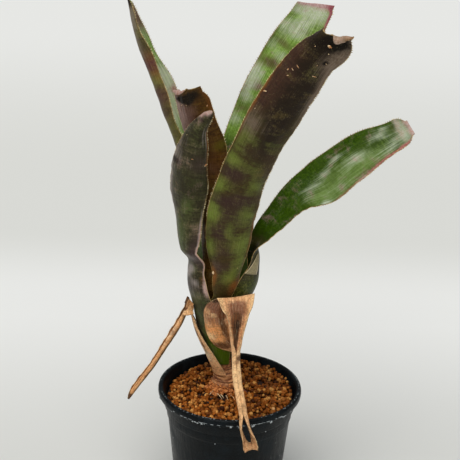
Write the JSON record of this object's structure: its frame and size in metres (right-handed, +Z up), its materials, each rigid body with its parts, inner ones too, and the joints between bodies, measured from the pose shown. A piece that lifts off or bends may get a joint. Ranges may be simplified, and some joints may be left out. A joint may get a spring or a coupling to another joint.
{
  "type": "potted tank bromeliad",
  "caption": "Small tank bromeliad with a few banded strap leaves and dry hanging leaves, growing in grit in a round black nursery pot.",
  "frame": {"origin": "middle of the pot's flat underside, which is also the surface that it stands on", "axes": "+Z up, +X to the right and +Y away from the viewer, as the picture sees the plant"},
  "size_m": [0.2028, 0.1173, 0.3685],
  "materials": {
    "pot": "satin",
    "grit": "matte",
    "stem": "matte",
    "leaf": "satin",
    "dry_leaf": "matte"
  },
  "bodies": {
    "root": {"pot": "pot", "grit": "grit", "stem": "stem", "leaf_front_left": "leaf", "leaf_front": "leaf", "leaf_right": "leaf", "leaf_back_left": "leaf", "leaf_back_right": "leaf", "leaf_inner_left": "leaf", "dry_leaf_left": "dry_leaf", "dry_leaf_front": "dry_leaf"}
  },
  "joints": []
}
